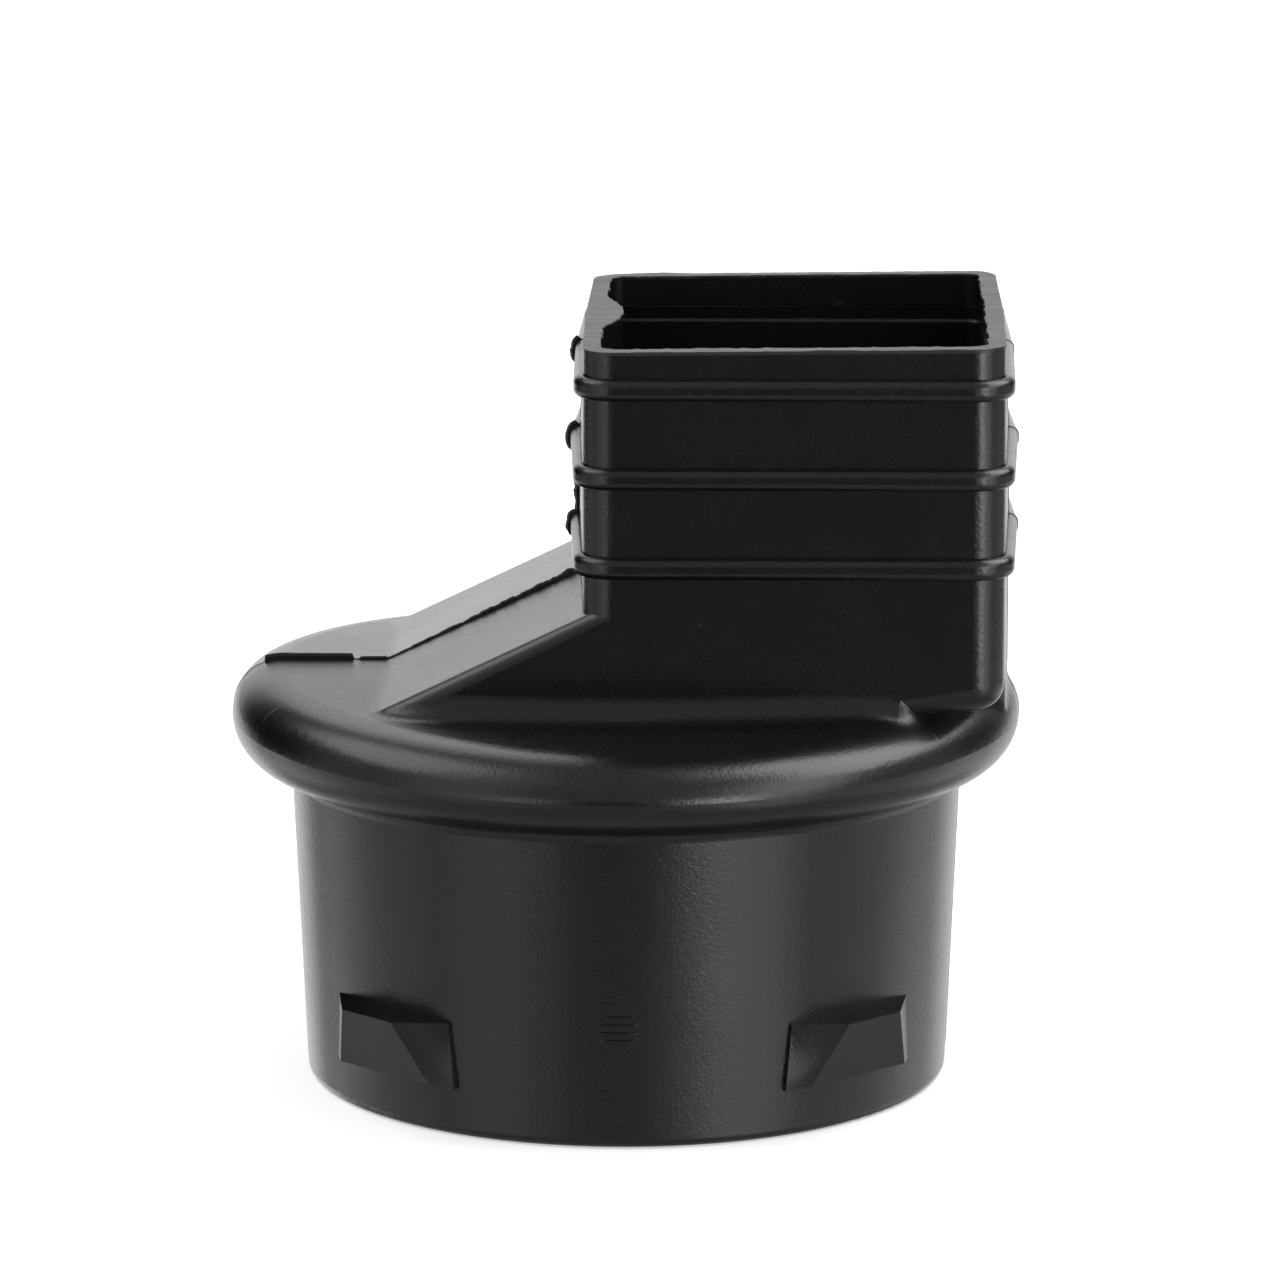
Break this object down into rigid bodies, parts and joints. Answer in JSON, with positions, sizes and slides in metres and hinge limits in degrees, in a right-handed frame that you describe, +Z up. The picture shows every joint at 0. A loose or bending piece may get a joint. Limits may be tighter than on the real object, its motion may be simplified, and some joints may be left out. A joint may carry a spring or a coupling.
{
  "type": "downspout adapter",
  "caption": "Blow-moulded adapter from a rectangular downspout to round corrugated drain pipe, with a ribbed offset socket, sloping shoulder and snap-in spigot.",
  "frame": {"origin": "on the spigot's axis, at the plane of its open lower end", "axes": "+Z up along the spigot's axis towards the rectangular socket; +X towards the side the socket is offset to; the mould parts on the XZ plane, and the sloping shoulder is on the -X side"},
  "size_m": [0.1218, 0.1218, 0.1197],
  "materials": {
    "black_polyethylene": "semi-matt, fine orange-peel grain"
  },
  "bodies": {
    "root": {"adapter_shell": "black_polyethylene"}
  },
  "joints": []
}
